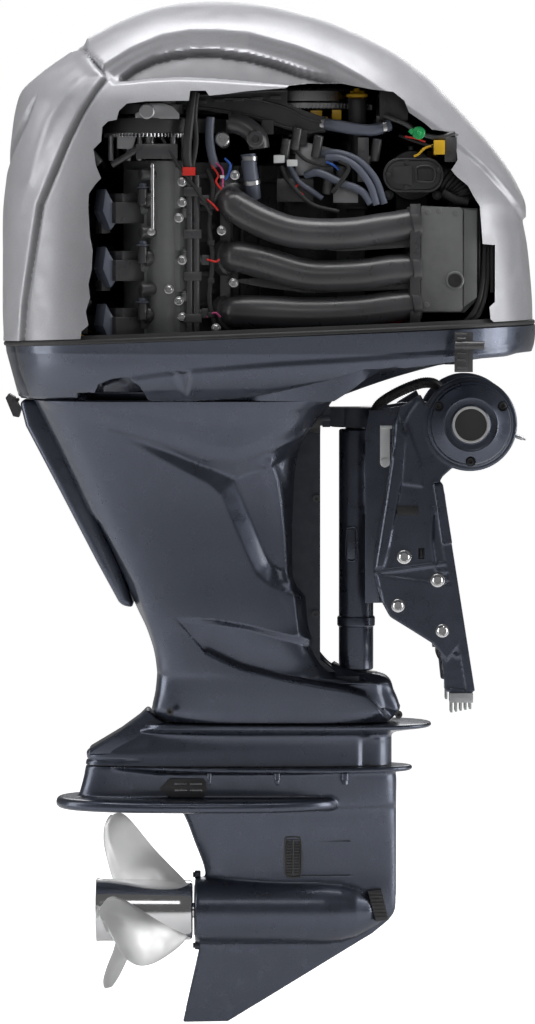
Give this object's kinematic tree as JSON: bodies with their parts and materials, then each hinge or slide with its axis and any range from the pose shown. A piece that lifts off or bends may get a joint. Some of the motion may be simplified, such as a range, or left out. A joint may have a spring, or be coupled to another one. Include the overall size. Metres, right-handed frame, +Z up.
{
  "type": "outboard motor",
  "caption": "Large outboard boat motor with a silver top cowl cut open on its starboard side, dark leg and gearcase, transom brackets, tilt ram and three-bladed propeller.",
  "frame": {"origin": "middle of the tilt tube, on the motor's centre plane", "axes": "+X forward (towards the boat), +Y to port along the tilt tube, +Z up"},
  "size_m": [0.9841, 0.622, 1.8935],
  "materials": {
    "navy_paint": "blue-grey metallic, satin gloss",
    "dark_paint": "dark blue-black, satin",
    "silver_paint": "silver metallic paint on moulded plastic",
    "bright_steel": "machined",
    "polished_steel": "polished stainless",
    "zinc": "cast, dull",
    "bush_bronze": "machined",
    "soft_black": "matte",
    "engine_black": "black, semi-matt",
    "engine_grey": "dark grey, grained",
    "bare_aluminium": "cast",
    "yellow_plastic": "satin"
  },
  "bodies": {
    "clamp": {"starboard_clamp_bracket": "navy_paint", "port_clamp_bracket": "navy_paint", "tilt_tube": "bright_steel", "tilt_tube_nut": "bright_steel", "tilt_axis_cover": "navy_paint", "cover_screws": "engine_black", "bracket_bolts": "bright_steel", "bracket_spacer": "dark_paint", "trim_unit": "dark_paint", "bracket_anode": "zinc"},
    "trim_cylinder": {"trim_cylinder": "dark_paint"},
    "trim_rod": {"trim_rod": "bright_steel"},
    "swivel": {"swivel_bracket": "dark_paint", "swivel_bushes": "bush_bronze", "wiring_conduit": "soft_black"},
    "tilt_lock": {"tilt_support_lever": "bright_steel"},
    "motor": {"steering_yoke": "dark_paint", "lower_yoke": "dark_paint", "mount_rubbers": "soft_black", "lower_cowl": "navy_paint", "cowl_seal": "soft_black", "exhaust_housing": "dark_paint", "starboard_apron": "navy_paint", "port_apron": "navy_paint", "rear_apron": "navy_paint", "apron_screws": "engine_black", "upper_case": "navy_paint", "gearcase": "navy_paint", "water_inlet_grilles": "engine_black", "bearing_carrier": "navy_paint", "cylinder_block": "engine_black", "cylinder_heads": "bare_aluminium", "cam_covers": "engine_black", "ignition_coils": "engine_black", "intake_runners": "engine_black", "surge_tank": "engine_grey", "throttle_body": "engine_black", "fuel_rails": "engine_black", "timing_belt": "soft_black", "belt_cover": "engine_black", "oil_filler_tube": "engine_black", "engine_hoses": "soft_black", "wiring_harness": "engine_black", "starter_motor": "engine_black"},
    "crank": {"crankshaft": "bright_steel", "flywheel": "bright_steel", "drive_shaft": "bright_steel", "pinion_gear": "bright_steel"},
    "starboard_cam": {"starboard_cam_sprocket": "bare_aluminium"},
    "port_cam": {"port_cam_sprocket": "bare_aluminium"},
    "prop": {"propeller_shaft": "bright_steel", "driven_gear": "bright_steel", "propeller": "polished_steel", "propeller_nut": "bright_steel"},
    "top_cowl": {"top_cowl": "silver_paint"},
    "throttle_valve": {"throttle_valve": "bright_steel"},
    "oil_cap": {"oil_filler_cap": "yellow_plastic"},
    "rear_latch": {"rear_latch": "engine_black"},
    "starboard_latch": {"starboard_latch": "engine_black"},
    "port_latch": {"port_latch": "engine_black"}
  },
  "joints": [
    {"name": "tilt", "type": "hinge", "parent": "clamp", "child": "swivel", "pos_m": [0, 0, 0], "axis": [0, 1, 0], "range_deg": [0, 70]},
    {"name": "trim_cylinder_swing", "type": "hinge", "parent": "clamp", "child": "trim_cylinder", "pos_m": [-0.038, 0, -0.425], "axis": [0, 1, 0], "range_deg": [0, 8]},
    {"name": "trim_rod_slide", "type": "slide", "parent": "trim_cylinder", "child": "trim_rod", "axis": [-0.1214, 0, 0.9926], "range_m": [0, 0.09]},
    {"name": "tilt_lock_swing", "type": "hinge", "parent": "swivel", "child": "tilt_lock", "pos_m": [-0.154, 0, -0.084], "axis": [0, 1, 0], "range_deg": [0, 40]},
    {"name": "steer", "type": "hinge", "parent": "swivel", "child": "motor", "pos_m": [-0.205, 0, 0], "axis": [0, 0, 1], "range_deg": [-32, 32]},
    {"name": "crank_spin", "type": "hinge", "parent": "motor", "child": "crank", "pos_m": [-0.309, 0, 0], "axis": [0, 0, 1], "continuous": true},
    {"name": "starboard_cam_spin", "type": "hinge", "parent": "motor", "child": "starboard_cam", "pos_m": [-0.58613, -0.16, 0], "axis": [0, 0, 1], "continuous": true},
    {"name": "port_cam_spin", "type": "hinge", "parent": "motor", "child": "port_cam", "pos_m": [-0.58613, 0.16, 0], "axis": [0, 0, 1], "continuous": true},
    {"name": "prop_spin", "type": "hinge", "parent": "motor", "child": "prop", "pos_m": [-0.309, 0, -0.908], "axis": [1, 0, 0], "continuous": true},
    {"name": "cowl_lift", "type": "slide", "parent": "motor", "child": "top_cowl", "axis": [0, 0, 1], "range_m": [0, 0.5]},
    {"name": "throttle_turn", "type": "hinge", "parent": "motor", "child": "throttle_valve", "pos_m": [-0.106, -0.06, 0.452], "axis": [0, 0, 1], "range_deg": [0, 80], "stiffness_Nm_per_rad": 0.1},
    {"name": "oil_cap_turn", "type": "hinge", "parent": "motor", "child": "oil_cap", "pos_m": [-0.206, -0.118, 0.594], "axis": [0, 0, 1], "range_deg": [0, 90]},
    {"name": "rear_latch_pull", "type": "hinge", "parent": "motor", "child": "rear_latch", "pos_m": [-0.832, 0, 0.0395], "axis": [0, 1, 0], "range_deg": [0, 35]},
    {"name": "starboard_latch_swing", "type": "hinge", "parent": "motor", "child": "starboard_latch", "pos_m": [-0.015, -0.274, 0.146], "axis": [-1, 0, 0], "range_deg": [0, 20]},
    {"name": "port_latch_swing", "type": "hinge", "parent": "motor", "child": "port_latch", "pos_m": [-0.015, 0.274, 0.146], "axis": [1, 0, 0], "range_deg": [0, 20]}
  ],
  "couplings": [
    {"joint": "trim_cylinder_swing", "follows": "tilt", "ratio": 0.1},
    {"joint": "trim_rod_slide", "follows": "tilt", "m_per_rad": 0.071},
    {"joint": "starboard_cam_spin", "follows": "crank_spin", "ratio": 0.5},
    {"joint": "port_cam_spin", "follows": "crank_spin", "ratio": 0.5},
    {"joint": "prop_spin", "follows": "crank_spin", "ratio": -0.57143}
  ]
}
